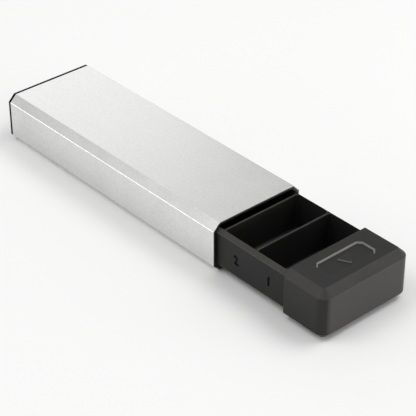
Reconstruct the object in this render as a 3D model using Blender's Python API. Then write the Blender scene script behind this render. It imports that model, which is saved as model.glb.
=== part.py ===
"""Slide-out weekly pill organizer: an aluminium sleeve with a black drawer.

The case is a chamfered aluminium tube with a moulded liner and a rear cap.
The drawer is a moulded tray with a row of compartments and a hollow head
pushed over its front end. Wedge lugs at the tray's tail run in slots in the
liner and stop the drawer before it falls out, and magnets hold it shut.

Metres, +Z up, +X out of the sleeve's mouth. The origin is the middle of the
sleeve's flat underside. Left and right are those of someone who pulls the
drawer towards them.
"""

import math

import bmesh
import bpy

# Outline that the sleeve, the rear cap and the drawer head share
CASE_WIDTH = 0.0500
CASE_HEIGHT = 0.02456
CASE_CHAMFER = 0.00341
CASE_EDGE_RADIUS = 0.0006

# Clearances, and how far a cut runs past what it cuts
SEAT_GAP = 0.00012
RUNNING_GAP = 0.00028
SHUT_GAP = 0.0003
CUT_OVERRUN = 0.0010

# Walls of the case
SLEEVE_WALL = 0.0006
SLEEVE_END_EDGE = 0.00018
LINER_WALL = 0.0009
LINER_SETBACK = 0.0003

# Drawer tray, and how far the drawer stands open
DRAWER_OPEN = 0.04264
COMPARTMENT_COUNT = 7
COMPARTMENT_LENGTH = 0.01875
DIVIDER_THICKNESS = 0.0010
DIVIDER_DROP = 0.00066
TRAY_SIDE_WALL = 0.0018
TRAY_FLOOR = 0.0016
TRAY_FRONT_WALL = 0.00135
TRAY_END_EDGE = 0.0003
POCKET_SIDE_RADIUS = 0.0016
POCKET_CORNER_RADIUS = 0.0008

# Tongue at the tray's front, which the head is pushed over
TONGUE_LENGTH = 0.0090
TONGUE_WALL = 0.0015
TONGUE_BULKHEAD = 0.0018
TONGUE_RIB = 0.0012

# Drawer head
HEAD_LENGTH = 0.02315
HEAD_CORNER_RADIUS = 0.0047
HEAD_FRONT_WALL = 0.0020
HEAD_BACK_EDGE = 0.00025
HEAD_RIB = 0.0012
HEAD_RIB_OFFSET = 0.0120

# Thumb recess on top of the head
RECESS_SETBACK = 0.0048
RECESS_LENGTH = 0.01095
RECESS_WIDTH = 0.0270
RECESS_CORNER_CUT = 0.0022
RECESS_DEPTH = 0.0008
RECESS_DRAFT = 0.00025

# Snap tabs inside the head, in windows of the tongue
HEAD_TAB_WIDTH = 0.0080
HEAD_TAB_LENGTH = 0.0016
HEAD_TAB_OFFSET = 0.0110
HEAD_TAB_SETBACK = 0.0042
HEAD_TAB_BITE_SHARE = 0.55

# Stop lugs at the tray's tail, and the plain ring of the liner that stops them
LUG_LENGTH = 0.0025
LUG_HEIGHT = 0.0034
LUG_TAIL_OFFSET = 0.0005
LUG_BITE_SHARE = 0.7
LUG_RAMP_SHARE = 0.15
STOP_RING = 0.0025

# Spring fingers in the liner's floor, which drag on the tray
FINGER_LENGTH = 0.0140
FINGER_WIDTH = 0.0050
FINGER_SLIT = 0.0008
FINGER_OFFSET = 0.0120
FINGER_SETBACK = 0.0080
FINGER_PAD_LENGTH = 0.0020
FINGER_PAD_GAP = 0.0001

# Rear cap, with snap tabs on its plug, in windows of the liner
CAP_FLANGE = 0.00147
CAP_EDGE = 0.0003
CAP_PLUG_DEPTH = 0.0034
CAP_PLUG_WALL = 0.0014
CAP_TAB_WIDTH = 0.0070
CAP_TAB_LENGTH = 0.0012
CAP_TAB_OFFSET = 0.0120
CAP_TAB_BITE_SHARE = 0.5
PLUG_TO_TRAY = 0.0017

# Magnets that hold the drawer shut
MAGNET_DIAMETER = 0.0060
MAGNET_THICKNESS = 0.0015
MAGNET_EDGE = 0.00015
MAGNET_OFFSET = 0.0120
MAGNET_SHUT_GAP = 0.0004
MAGNET_BACKING = 0.00058
MAGNET_BOSS_WALL = 0.0014

# Smoothness of arcs and rims, in steps, and the angle of a real edge
EDGE_STEPS = 3
FILLET_STEPS = 4
CORNER_STEPS = 8
ROUND_STEPS = 32
EDGE_ANGLE = math.radians(35)

# Sizes that follow from those above
LINER_INSET = SLEEVE_WALL + SEAT_GAP
BORE_INSET = LINER_INSET + LINER_WALL
TRAY_INSET = BORE_INSET + RUNNING_GAP
HEAD_WALL = TRAY_INSET - SEAT_GAP
PLUG_INSET = BORE_INSET + SEAT_GAP
POCKET_FLOOR_RADIUS = POCKET_SIDE_RADIUS + POCKET_CORNER_RADIUS
COMPARTMENT_PITCH = COMPARTMENT_LENGTH + DIVIDER_THICKNESS
TRAY_REAR_WALL = MAGNET_THICKNESS + SEAT_GAP + MAGNET_BACKING
TRAY_LENGTH = (
    TRAY_FRONT_WALL
    + COMPARTMENT_COUNT * COMPARTMENT_PITCH
    - DIVIDER_THICKNESS
    + TRAY_REAR_WALL
)
SLEEVE_LENGTH = SHUT_GAP + TRAY_LENGTH + PLUG_TO_TRAY + CAP_PLUG_DEPTH
HALF_WIDTH = CASE_WIDTH / 2
HALF_HEIGHT = CASE_HEIGHT / 2
MOUTH_X = SLEEVE_LENGTH / 2
SHOULDER_X = MOUTH_X + DRAWER_OPEN
SHUT_TAIL_X = MOUTH_X + SHUT_GAP - TRAY_LENGTH
MAGNET_POCKET_RADIUS = MAGNET_DIAMETER / 2 + SEAT_GAP

# Signs and names of what comes in pairs
SIDES = ((-1, "left"), (1, "right"))
LEVELS = ((-1, "low"), (1, "high"))


def clear_scene():
    """Remove every object of the scene."""
    for item in list(bpy.data.objects):
        bpy.data.objects.remove(item, do_unlink=True)


def make_material(name, color, roughness, metallic):
    """A plain Principled material."""
    material = bpy.data.materials.new(name)
    material.use_nodes = True
    shader = material.node_tree.nodes["Principled BSDF"]
    shader.inputs["Base Color"].default_value = (*color, 1.0)
    shader.inputs["Roughness"].default_value = roughness
    shader.inputs["Metallic"].default_value = metallic
    material.diffuse_color = (*color, 1.0)
    return material


def add_object(name, bm, material, parent):
    """Turn a bmesh into a named object: on the drawer's frame, or half the height up."""
    bmesh.ops.recalc_face_normals(bm, faces=bm.faces)
    mesh = bpy.data.meshes.new(name)
    bm.to_mesh(mesh)
    bm.free()
    item = bpy.data.objects.new(name, mesh)
    bpy.context.scene.collection.objects.link(item)
    item.parent = parent
    if parent is None:
        item.location = (0, 0, HALF_HEIGHT)
    if material is not None:
        mesh.materials.append(material)
    return item


def combine(target, name, bm, operation):
    """Cut a form out of the target, or join it on, with an exact Boolean."""
    tool = add_object(name, bm, None, target.parent)
    tool.hide_render = True
    tool.display_type = "WIRE"
    step = target.modifiers.new(name, "BOOLEAN")
    step.operation = operation
    step.solver = "EXACT"
    step.object = tool


def soften(target, width, segments):
    """Round the sharp edges that the target has so far."""
    step = target.modifiers.new("edges", "BEVEL")
    step.width = width
    step.segments = segments
    step.limit_method = "ANGLE"
    step.angle_limit = EDGE_ANGLE


def smooth(item):
    """Shade arcs smooth and keep real edges sharp."""
    item.data.shade_smooth()
    item.data.set_sharp_from_angle(angle=EDGE_ANGLE)


def arc(center, radius, start, end, steps):
    """Points along an arc, ends included. A pair of radii gives an oval one."""
    across, along = radius if isinstance(radius, tuple) else (radius, radius)
    points = []
    for index in range(steps + 1):
        angle = start + (end - start) * index / steps
        first = center[0] + across * math.cos(angle)
        second = center[1] + along * math.sin(angle)
        points.append((first, second))
    return points


def section(inset):
    """Case outline moved inwards by inset, as (y, z) about its middle, anticlockwise."""
    radius = CASE_EDGE_RADIUS
    leg = max(CASE_CHAMFER - inset * (2 - math.sqrt(2)), radius)
    turn = math.pi / 4
    reach = radius * math.tan(turn / 2)
    side = (HALF_WIDTH - inset - radius, HALF_HEIGHT - inset - leg - reach)
    top = (HALF_WIDTH - inset - leg - reach, HALF_HEIGHT - inset - radius)
    quarter = arc(side, radius, 0, turn, EDGE_STEPS) + arc(top, radius, turn, 2 * turn, EDGE_STEPS)
    upper = quarter + [(-y, z) for y, z in reversed(quarter)]
    return upper + [(-y, -z) for y, z in upper]


def add_ring(bm, points):
    """Add one loop of vertices."""
    return [bm.verts.new(point) for point in points]


def skin(bm, first, second):
    """Join two loops of equal length with a band of faces."""
    for index, vert in enumerate(first):
        after = (index + 1) % len(first)
        bm.faces.new((vert, first[after], second[after], second[index]))


def loft(bm, rings):
    """Skin a row of loops into one closed body."""
    for first, second in zip(rings, rings[1:]):
        skin(bm, first, second)
    bm.faces.new(rings[0])
    bm.faces.new(rings[-1])


def prism(outline, start, end):
    """Extrude a (y, z) outline along X."""
    bm = bmesh.new()
    loft(bm, [add_ring(bm, [(x, y, z) for y, z in outline]) for x in (start, end)])
    return bm


def tube(outer_inset, inner_inset, start, end):
    """A wall between two insets of the case outline, along X."""
    bm = bmesh.new()
    rings = []
    for inset, x in ((outer_inset, start), (outer_inset, end), (inner_inset, end), (inner_inset, start)):
        rings.append(add_ring(bm, [(x, y, z) for y, z in section(inset)]))
    for index, ring in enumerate(rings):
        skin(bm, ring, rings[(index + 1) % len(rings)])
    return bm


def slab(outline, start, end, axis):
    """Extrude an outline in X and the axis that is left over along Y or Z."""
    bm = bmesh.new()
    rings = []
    for level in (start, end):
        if axis == "Y":
            points = [(x, level, z) for x, z in outline]
        else:
            points = [(x, y, level) for x, y in outline]
        rings.append(add_ring(bm, points))
    loft(bm, rings)
    return bm


def block(span_x, span_y, span_z):
    """A box over three spans, each given by its two ends in any order."""
    (start, end), (low, high) = span_x, span_y
    return slab([(start, low), (end, low), (end, high), (start, high)], *span_z, "Z")


def around(middle, width):
    """The span of a width about its middle."""
    return (middle - width / 2, middle + width / 2)


def disc(radius, start, end, across):
    """A round disc along X whose axis runs at y = across."""
    return prism(arc((across, 0), radius, 0, 2 * math.pi, ROUND_STEPS)[:-1], start, end)


def head_form(inset, front_wall, back):
    """The case outline swept round the head's plan, moved inwards by inset.

    The plan runs from the shoulder at x = 0 to the front and has two round front
    corners. Its lower and upper loops shrink like the chamfers, which makes the
    chamfer of each corner a cone.
    """
    bm = bmesh.new()
    outline = section(inset)
    quarter = len(outline) // 4
    rings = []
    for y, z in outline[-quarter:] + outline[:quarter]:
        offset = HALF_WIDTH - y
        radius = max(HEAD_CORNER_RADIUS - offset, CASE_EDGE_RADIUS)
        nose = HEAD_LENGTH - front_wall - (offset - inset) - radius
        near = arc((nose, -y + radius), radius, -math.pi / 2, 0, CORNER_STEPS)
        far = arc((nose, y - radius), radius, 0, math.pi / 2, CORNER_STEPS)
        plan = [(back, -y)] + near + far + [(back, y)]
        rings.append(add_ring(bm, [(x, side, z) for x, side in plan]))
    loft(bm, rings)
    ends = {vert for ring in rings for vert in (ring[0], ring[-1])}
    shoulder = [face for face in bm.faces if ends.issuperset(face.verts)]
    bmesh.ops.dissolve_faces(bm, faces=shoulder)
    return bm


def cavity_profile(shrink):
    """Long section of the tray's hollow as (x, z), with every pocket shrunk alike.

    It runs down, along and up through each pocket, over the round top of each
    divider, and closes above the tray.
    """
    above = HALF_HEIGHT - TRAY_INSET + CUT_OVERRUN
    crest = HALF_HEIGHT - TRAY_INSET - DIVIDER_DROP
    floor = -HALF_HEIGHT + TRAY_INSET + TRAY_FLOOR + shrink
    radius = POCKET_FLOOR_RADIUS - shrink
    rounding = DIVIDER_THICKNESS / 2
    half_divider = DIVIDER_THICKNESS / 2 + shrink
    points = []
    for index in range(COMPARTMENT_COUNT):
        near = -TRAY_FRONT_WALL - index * COMPARTMENT_PITCH - shrink
        far = near - COMPARTMENT_LENGTH + 2 * shrink
        if index == 0:
            points.append((near, above))
        points += arc((near - radius, floor + radius), radius, 0, -math.pi / 2, FILLET_STEPS)
        points += arc((far + radius, floor + radius), radius, -math.pi / 2, -math.pi, FILLET_STEPS)
        if index < COMPARTMENT_COUNT - 1:
            center = (far - half_divider, crest - rounding)
            points += arc(center, (half_divider, rounding), 0, math.pi, 2 * EDGE_STEPS)
        else:
            points.append((far, above))
    return points


def cavity_form():
    """The tray's hollow: a row of pockets with rounded floors and corners."""
    bm = bmesh.new()
    wall = HALF_WIDTH - TRAY_INSET - TRAY_SIDE_WALL
    stations = []
    for index in range(FILLET_STEPS + 1):
        angle = math.pi / 2 * index / FILLET_STEPS
        shrink = POCKET_SIDE_RADIUS * (1 - math.sin(angle))
        stations.append((wall - POCKET_SIDE_RADIUS * (1 - math.cos(angle)), shrink))
    stations += [(-y, shrink) for y, shrink in reversed(stations)]
    rings = []
    for y, shrink in stations:
        rings.append(add_ring(bm, [(x, y, z) for x, z in cavity_profile(shrink)]))
    loft(bm, rings)
    return bm


def recess_form():
    """The thumb recess: an octagon that narrows a little towards its floor."""
    bm = bmesh.new()
    middle = RECESS_SETBACK + RECESS_LENGTH / 2
    draft_above = RECESS_DRAFT * CUT_OVERRUN / RECESS_DEPTH
    rings = []
    for rise, spread in ((-RECESS_DEPTH, -RECESS_DRAFT), (CUT_OVERRUN, draft_above)):
        long_half = RECESS_WIDTH / 2 + spread
        short_half = RECESS_LENGTH / 2 + spread
        long_side = long_half - RECESS_CORNER_CUT
        short_side = short_half - RECESS_CORNER_CUT
        corners = [
            (short_half, -long_side),
            (short_half, long_side),
            (short_side, long_half),
            (-short_side, long_half),
            (-short_half, long_side),
            (-short_half, -long_side),
            (-short_side, -long_half),
            (short_side, -long_half),
        ]
        rings.append(add_ring(bm, [(middle + x, y, HALF_HEIGHT + rise) for x, y in corners]))
    loft(bm, rings)
    return bm


def lug_form(side):
    """A stop lug: square to the front, ramped to the rear so that it snaps in."""
    wall = HALF_WIDTH - TRAY_INSET
    rise = RUNNING_GAP + LINER_WALL * LUG_BITE_SHARE
    root = wall - TRAY_SIDE_WALL / 2
    rear = -TRAY_LENGTH + LUG_TAIL_OFFSET
    front = rear + LUG_LENGTH
    outline = [
        (rear, root),
        (front, root),
        (front, wall + rise),
        (front - LUG_LENGTH / 2, wall + rise),
        (rear, wall + rise * LUG_RAMP_SHARE),
    ]
    return slab([(x, side * y) for x, y in outline], *around(0, LUG_HEIGHT), "Z")


def head_rib_form(side):
    """A rib that fills the head's height ahead of the tongue and stops the tongue."""
    back = TONGUE_LENGTH + SEAT_GAP
    front = HEAD_LENGTH - HEAD_FRONT_WALL / 2
    low = -HALF_HEIGHT + HEAD_WALL / 2
    high = HALF_HEIGHT - (HEAD_WALL + RECESS_DEPTH) / 2
    outline = [
        (back, low),
        (front - CASE_CHAMFER, low),
        (front, low + CASE_CHAMFER),
        (front, high - CASE_CHAMFER),
        (front - CASE_CHAMFER, high),
        (back, high),
    ]
    return slab(outline, *around(side * HEAD_RIB_OFFSET, HEAD_RIB), "Y")


def cap_tab_span(gap):
    """Where a snap tab of the rear cap lies along X, with a gap round it."""
    middle = -MOUTH_X + CAP_PLUG_DEPTH / 2
    return around(middle, CAP_TAB_LENGTH + 2 * gap)


def head_tab_span(gap):
    """Where a snap tab of the head lies along X, with a gap round it."""
    middle = HEAD_TAB_SETBACK + HEAD_TAB_LENGTH / 2
    return around(middle, HEAD_TAB_LENGTH + 2 * gap)


def make_sleeve(material):
    """Extruded aluminium tube."""
    sleeve = add_object("outer_sleeve", tube(0, SLEEVE_WALL, -MOUTH_X, MOUTH_X), material, None)
    soften(sleeve, SLEEVE_END_EDGE, 1)
    smooth(sleeve)


def make_liner(material):
    """Moulded liner: a thin tube with slots for the lugs, fingers and cap windows."""
    bm = tube(LINER_INSET, BORE_INSET, -MOUTH_X + SEAT_GAP, MOUTH_X - LINER_SETBACK)
    liner = add_object("sleeve_liner", bm, material, None)
    side_wall = (HALF_WIDTH - BORE_INSET - CUT_OVERRUN, HALF_WIDTH - LINER_INSET + CUT_OVERRUN)
    flat_wall = (HALF_HEIGHT - BORE_INSET - CUT_OVERRUN, HALF_HEIGHT - LINER_INSET + CUT_OVERRUN)
    slot = (SHUT_TAIL_X - RUNNING_GAP, MOUTH_X - STOP_RING)
    for side, label in SIDES:
        across = [side * y for y in side_wall]
        bm = block(slot, across, around(0, LUG_HEIGHT + 2 * RUNNING_GAP))
        combine(liner, "lug_slot_" + label, bm, "DIFFERENCE")
        across = around(side * CAP_TAB_OFFSET, CAP_TAB_WIDTH + 2 * SEAT_GAP)
        for level, height in LEVELS:
            bm = block(cap_tab_span(SEAT_GAP), across, [level * z for z in flat_wall])
            combine(liner, f"cap_window_{label}_{height}", bm, "DIFFERENCE")
        cut_finger(liner, side * FINGER_OFFSET, label, [-z for z in flat_wall])
    smooth(liner)


def cut_finger(liner, middle, label, wall):
    """Slit a spring finger free in the liner's floor and give it a drag pad."""
    tip = MOUTH_X - FINGER_SETBACK
    long_slit = (tip - FINGER_LENGTH, tip)
    slits = {
        "near": (long_slit, around(middle - (FINGER_WIDTH + FINGER_SLIT) / 2, FINGER_SLIT)),
        "far": (long_slit, around(middle + (FINGER_WIDTH + FINGER_SLIT) / 2, FINGER_SLIT)),
        "tip": ((tip, tip + FINGER_SLIT), around(middle, FINGER_WIDTH + 2 * FINGER_SLIT)),
    }
    for name, (span_x, span_y) in slits.items():
        combine(liner, f"finger_slit_{label}_{name}", block(span_x, span_y, wall), "DIFFERENCE")
    front = tip - FINGER_SLIT
    root = -HALF_HEIGHT + LINER_INSET + LINER_WALL / 2
    crest = -HALF_HEIGHT + TRAY_INSET - FINGER_PAD_GAP
    bm = block((front - FINGER_PAD_LENGTH, front), around(middle, FINGER_WIDTH / 2), (root, crest))
    combine(liner, "finger_pad_" + label, bm, "UNION")


def make_rear_cap(material):
    """End cap: a flange, a hollow plug with snap tabs and two magnet bosses."""
    rear = -MOUTH_X - CAP_FLANGE
    cap = add_object("rear_cap", prism(section(0), rear, -MOUTH_X - SEAT_GAP), material, None)
    soften(cap, CAP_EDGE, 2)
    root = rear + CAP_FLANGE / 2
    bm = tube(PLUG_INSET, PLUG_INSET + CAP_PLUG_WALL, root, -MOUTH_X + CAP_PLUG_DEPTH)
    combine(cap, "cap_plug", bm, "UNION")
    boss_front = SHUT_TAIL_X - MAGNET_SHUT_GAP
    pocket_floor = boss_front - MAGNET_THICKNESS - SEAT_GAP
    tab_root = HALF_HEIGHT - PLUG_INSET - CAP_PLUG_WALL / 2
    tab_crest = HALF_HEIGHT - BORE_INSET + LINER_WALL * CAP_TAB_BITE_SHARE
    for side, label in SIDES:
        across = side * MAGNET_OFFSET
        bm = disc(MAGNET_POCKET_RADIUS + MAGNET_BOSS_WALL, root, boss_front, across)
        combine(cap, "magnet_boss_" + label, bm, "UNION")
        bm = disc(MAGNET_POCKET_RADIUS, pocket_floor, boss_front + CUT_OVERRUN, across)
        combine(cap, "magnet_pocket_" + label, bm, "DIFFERENCE")
        across = around(side * CAP_TAB_OFFSET, CAP_TAB_WIDTH)
        for level, height in LEVELS:
            bm = block(cap_tab_span(0), across, (level * tab_root, level * tab_crest))
            combine(cap, f"cap_tab_{label}_{height}", bm, "UNION")
    smooth(cap)


def make_tray(material, drawer):
    """Moulded tray: pockets in a row, stop lugs, magnet pockets and a hollow tongue."""
    bm = prism(section(TRAY_INSET), -TRAY_LENGTH, TONGUE_LENGTH)
    tray = add_object("drawer_tray", bm, material, drawer)
    soften(tray, TRAY_END_EDGE, 1)
    for side, label in SIDES:
        combine(tray, "stop_lug_" + label, lug_form(side), "UNION")
    combine(tray, "pockets", cavity_form(), "DIFFERENCE")

    bulkhead = TONGUE_BULKHEAD - TRAY_FRONT_WALL
    bm = prism(section(TRAY_INSET + TONGUE_WALL), bulkhead, TONGUE_LENGTH + CUT_OVERRUN)
    combine(tray, "tongue_hollow", bm, "DIFFERENCE")
    rib_height = 2 * (HALF_HEIGHT - TRAY_INSET) - TONGUE_WALL
    rib_length = (bulkhead / 2, TONGUE_LENGTH - TRAY_END_EDGE)
    bm = block(rib_length, around(0, TONGUE_RIB), around(0, rib_height))
    combine(tray, "tongue_rib", bm, "UNION")

    tongue_face = HALF_HEIGHT - TRAY_INSET
    wall = (tongue_face - TONGUE_WALL - CUT_OVERRUN, tongue_face + CUT_OVERRUN)
    magnet_pocket = (-TRAY_LENGTH - CUT_OVERRUN, -TRAY_LENGTH + MAGNET_THICKNESS + SEAT_GAP)
    for side, label in SIDES:
        across = around(side * HEAD_TAB_OFFSET, HEAD_TAB_WIDTH + 2 * SEAT_GAP)
        for level, height in LEVELS:
            bm = block(head_tab_span(SEAT_GAP), across, [level * z for z in wall])
            combine(tray, f"tongue_window_{label}_{height}", bm, "DIFFERENCE")
        bm = disc(MAGNET_POCKET_RADIUS, *magnet_pocket, side * MAGNET_OFFSET)
        combine(tray, "tail_pocket_" + label, bm, "DIFFERENCE")
    smooth(tray)


def make_head(material, drawer):
    """Hollow drawer head with ribs, snap tabs and a thumb recess."""
    head = add_object("drawer_head", head_form(0, 0, 0), material, drawer)
    soften(head, HEAD_BACK_EDGE, 1)
    bm = head_form(HEAD_WALL, HEAD_FRONT_WALL, -CUT_OVERRUN)
    combine(head, "head_hollow", bm, "DIFFERENCE")
    combine(head, "thumb_recess", recess_form(), "DIFFERENCE")
    tab_root = HALF_HEIGHT - (HEAD_WALL + RECESS_DEPTH) / 2
    tab_crest = HALF_HEIGHT - TRAY_INSET - TONGUE_WALL * HEAD_TAB_BITE_SHARE
    for side, label in SIDES:
        combine(head, "head_rib_" + label, head_rib_form(side), "UNION")
        across = around(side * HEAD_TAB_OFFSET, HEAD_TAB_WIDTH)
        for level, height in LEVELS:
            bm = block(head_tab_span(0), across, (level * tab_root, level * tab_crest))
            combine(head, f"head_tab_{label}_{height}", bm, "UNION")
    smooth(head)


def make_magnet(name, material, parent, rear, across):
    """A disc magnet along X whose rear face lies at x = rear."""
    bm = disc(MAGNET_DIAMETER / 2, rear, rear + MAGNET_THICKNESS, across)
    magnet = add_object(name, bm, material, parent)
    soften(magnet, MAGNET_EDGE, 1)
    smooth(magnet)


def build():
    """Build the whole organizer."""
    clear_scene()
    aluminium = make_material("satin_aluminium", (0.72, 0.72, 0.71), 0.38, 1.0)
    liner_black = make_material("black_liner_plastic", (0.012, 0.012, 0.013), 0.5, 0.0)
    cap_black = make_material("black_cap_plastic", (0.020, 0.020, 0.020), 0.45, 0.0)
    tray_black = make_material("black_tray_plastic", (0.032, 0.031, 0.030), 0.45, 0.0)
    head_black = make_material("black_head_plastic", (0.034, 0.033, 0.032), 0.42, 0.0)
    nickel = make_material("nickel_plate", (0.62, 0.60, 0.57), 0.25, 1.0)

    make_sleeve(aluminium)
    make_liner(liner_black)
    make_rear_cap(cap_black)

    drawer = bpy.data.objects.new("drawer_frame", None)
    bpy.context.scene.collection.objects.link(drawer)
    drawer.location = (SHOULDER_X, 0, HALF_HEIGHT)
    make_tray(tray_black, drawer)
    make_head(head_black, drawer)

    cap_magnet_rear = SHUT_TAIL_X - MAGNET_SHUT_GAP - MAGNET_THICKNESS
    for side, label in SIDES:
        across = side * MAGNET_OFFSET
        make_magnet("cap_magnet_" + label, nickel, None, cap_magnet_rear, across)
        make_magnet("tray_magnet_" + label, nickel, drawer, -TRAY_LENGTH, across)


build()
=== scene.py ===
"""Looks of a slide-out pill organizer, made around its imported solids.

Every shell is built again with finer edges, on the places and sizes of the solid
that it stands for. Forms are made about the middle of the case's height, and those
of the drawer from the shoulder of its head, before they are moved to their place.
"""

import math

import bmesh
import bpy
from mathutils import Matrix, Vector


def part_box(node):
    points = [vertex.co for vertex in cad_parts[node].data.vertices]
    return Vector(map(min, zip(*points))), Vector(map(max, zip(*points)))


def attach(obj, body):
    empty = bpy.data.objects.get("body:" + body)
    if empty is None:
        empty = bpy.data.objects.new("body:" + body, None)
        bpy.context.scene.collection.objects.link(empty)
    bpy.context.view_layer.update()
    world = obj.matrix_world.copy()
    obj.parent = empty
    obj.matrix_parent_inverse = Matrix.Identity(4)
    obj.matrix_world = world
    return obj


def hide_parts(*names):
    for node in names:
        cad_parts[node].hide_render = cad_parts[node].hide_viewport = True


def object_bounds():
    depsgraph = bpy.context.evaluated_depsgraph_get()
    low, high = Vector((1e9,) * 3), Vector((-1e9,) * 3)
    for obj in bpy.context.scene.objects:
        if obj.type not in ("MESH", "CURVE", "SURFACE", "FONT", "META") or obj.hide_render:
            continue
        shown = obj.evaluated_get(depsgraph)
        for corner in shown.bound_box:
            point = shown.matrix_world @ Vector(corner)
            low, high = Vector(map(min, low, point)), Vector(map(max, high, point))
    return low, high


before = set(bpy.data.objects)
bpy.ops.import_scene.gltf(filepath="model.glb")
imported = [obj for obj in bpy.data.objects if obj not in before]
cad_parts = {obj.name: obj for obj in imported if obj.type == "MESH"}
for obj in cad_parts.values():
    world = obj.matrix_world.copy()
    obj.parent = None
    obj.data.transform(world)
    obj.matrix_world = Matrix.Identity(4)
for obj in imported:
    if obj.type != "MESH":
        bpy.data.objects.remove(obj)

CAD_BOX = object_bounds()
MM = 0.001

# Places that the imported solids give
SLEEVE_LOW, SLEEVE_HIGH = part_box("outer_sleeve")
LINER_LOW, LINER_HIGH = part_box("sleeve_liner")
CAP_LOW, CAP_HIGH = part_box("rear_cap")
TRAY_LOW, TRAY_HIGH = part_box("drawer_tray")
HEAD_LOW, HEAD_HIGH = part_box("drawer_head")
CAP_MAGNET_LOW, CAP_MAGNET_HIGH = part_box("cap_magnet_right")
TRAY_MAGNET_LOW, TRAY_MAGNET_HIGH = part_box("tray_magnet_right")

HALF_WIDTH = SLEEVE_HIGH.y
HALF_HEIGHT = SLEEVE_HIGH.z / 2
REAR_X, MOUTH_X = SLEEVE_LOW.x, SLEEVE_HIGH.x
SHOULDER_X = HEAD_LOW.x
HEAD_LENGTH = HEAD_HIGH.x - HEAD_LOW.x
TRAY_LENGTH = SHOULDER_X - TRAY_LOW.x
TONGUE_LENGTH = TRAY_HIGH.x - SHOULDER_X
LINER_INSET = LINER_LOW.z
TRAY_INSET = TRAY_LOW.z

# Outline of the case
CASE_CHAMFER = 3.41 * MM
CASE_EDGE_RADIUS = 0.6 * MM

# Walls, gaps and edges of the case
SLEEVE_WALL = 0.6 * MM
SLEEVE_LIP = 0.1 * MM
SLEEVE_COUNTERSINK = 0.5 * MM
LINER_WALL = 0.9 * MM
LINER_LIP = 0.25 * MM
SEAT_GAP = 0.12 * MM
CUT_OVERRUN = 1.0 * MM
CAP_EDGE = 0.18 * MM
CAP_PLUG_DEPTH = 3.4 * MM
CAP_PLUG_WALL = 1.4 * MM
CAP_TAB_LENGTH = 1.2 * MM
CAP_TAB_WIDTH = 7.0 * MM
CAP_TAB_OFFSET = 12.0 * MM
CAP_TAB_BITE = 0.45 * MM
MAGNET_BOSS_WALL = 1.4 * MM

# Slots and spring fingers of the liner
LUG_SLOT_HEIGHT = 3.96 * MM
LUG_SLOT_TAIL_X = -67.68 * MM
STOP_RING = 2.5 * MM
FINGER_LENGTH = 14.0 * MM
FINGER_WIDTH = 5.0 * MM
FINGER_SLIT = 0.8 * MM
FINGER_OFFSET = 12.0 * MM
FINGER_SETBACK = 8.0 * MM
FINGER_PAD_LENGTH = 2.0 * MM
FINGER_PAD_GAP = 0.1 * MM

# Tray
COMPARTMENT_COUNT = 7
COMPARTMENT_LENGTH = 18.75 * MM
DIVIDER_THICKNESS = 1.0 * MM
DIVIDER_DROP = 0.66 * MM
TRAY_SIDE_WALL = 1.8 * MM
TRAY_FLOOR = 1.6 * MM
TRAY_FRONT_WALL = 1.35 * MM
TRAY_END_EDGE = 0.3 * MM
TRAY_RIM_EDGE = 0.16 * MM
POCKET_SIDE_RADIUS = 1.6 * MM
POCKET_CORNER_RADIUS = 0.8 * MM
LUG_LENGTH = 2.5 * MM
LUG_HEIGHT = 3.4 * MM
LUG_TAIL_OFFSET = 0.5 * MM
LUG_RISE = 0.91 * MM
LUG_RAMP_RISE = 0.137 * MM
TONGUE_WALL = 1.5 * MM
TONGUE_FLOOR = 0.45 * MM
TONGUE_RIB = 1.2 * MM

# Numbers on the tray's left side. A digit's height is a share of its font size.
NUMBER_HEIGHT = 4.2 * MM
DIGIT_SHARE = 0.7
NUMBER_LEVEL = -0.15 * MM
NUMBER_DEPTH = 0.35 * MM
NUMBER_BOLDNESS = 0.36 * MM
NUMBER_CORNER = 0.45 * MM
NUMBER_POINT_GAP = 0.12 * MM
NUMBER_NEAR_POINTS = 0.05 * MM

# Drawer head
HEAD_CORNER_RADIUS = 4.7 * MM
HEAD_FRONT_WALL = 2.0 * MM
HEAD_WALL = 1.78 * MM
HEAD_BACK_EDGE = 0.25 * MM
HEAD_RIB = 1.2 * MM
HEAD_RIB_OFFSET = 12.0 * MM

# Snap tabs inside the head, in windows of the tongue
HEAD_TAB_LENGTH = 1.6 * MM
HEAD_TAB_WIDTH = 8.0 * MM
HEAD_TAB_OFFSET = 11.0 * MM
HEAD_TAB_SETBACK = 4.2 * MM
HEAD_TAB_BITE = 0.825 * MM

# Thumb recess and the pull arrow on its floor
RECESS_SETBACK = 4.8 * MM
RECESS_LENGTH = 10.95 * MM
RECESS_WIDTH = 27.0 * MM
RECESS_CORNER_CUT = 2.2 * MM
RECESS_CORNER_RADIUS = 0.5 * MM
RECESS_DEPTH = 0.8 * MM
RECESS_DRAFT = 0.42 * MM
RECESS_RIM = 0.14 * MM
RECESS_FILLET = 0.2 * MM
ARROW_BASE = 8.2 * MM
ARROW_TIP = 13.8 * MM
ARROW_HALF_WIDTH = 3.0 * MM
ARROW_CORNER_RADIUS = 0.3 * MM
ARROW_RISE = 0.5 * MM
ARROW_SLOPE = 0.2 * MM
ARROW_RIM = 0.08 * MM

# Smoothness of arcs, in steps
EDGE_STEPS = 8
FILLET_STEPS = 10
CORNER_STEPS = 28
ROUND_STEPS = 96
LIP_STEPS = 4
RIM_STEPS = 3

# Shading: the least angle of a sharp edge, and all weight to the largest faces
SHARP_ANGLE = math.radians(32)
LARGE_FACES_FIRST = 100

# A flat region narrower than this is part of a rounded edge, if it bends this tightly
EDGE_FACE_WIDTH = 0.3 * MM
SOFTEST_EDGE_RADIUS = 1.1 * MM
TIGHTEST_BODY_RADIUS = 0.75 * MM
HANDLED_DEPTH = 2.3 * MM
# Upright share of the normal on the recess walls that take a painted highlight
WALL_RISE = (0.1, 0.9)

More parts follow.
